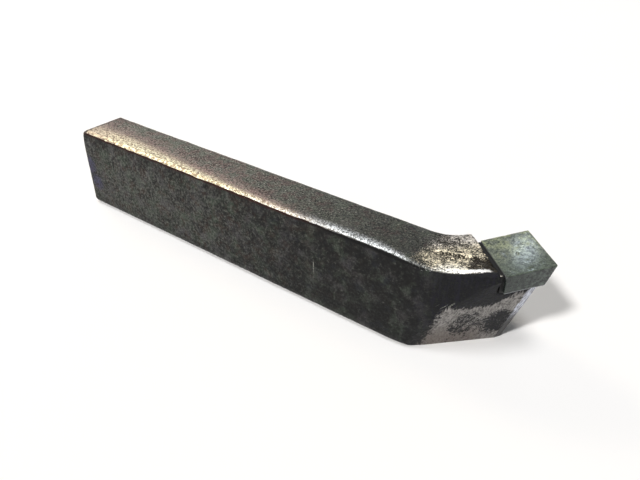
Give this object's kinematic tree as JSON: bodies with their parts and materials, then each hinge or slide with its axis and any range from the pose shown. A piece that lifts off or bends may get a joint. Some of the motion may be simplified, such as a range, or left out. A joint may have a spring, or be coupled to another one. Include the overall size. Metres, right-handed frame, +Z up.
{
  "type": "brazed turning tool",
  "caption": "Bent roughing tool for a lathe: rectangular forged steel shank with a head bent 45 degrees to one side and a hard cutting tip brazed into its open pocket.",
  "frame": {"origin": "on the base, on the straight shank's centreline, halfway along the straight shank", "axes": "+X along the shank towards the head, +Z up from the base, and the head turns towards +Y"},
  "size_m": [0.1405, 0.0271, 0.0269],
  "materials": {
    "forged_steel": "dark forging scale with bare ground flank",
    "carbide": "stained, semi-gloss",
    "braze": "dull, darkened by flux"
  },
  "bodies": {
    "root": {"shank": "forged_steel", "carbide_tip": "carbide", "braze_filler": "braze"}
  },
  "joints": []
}
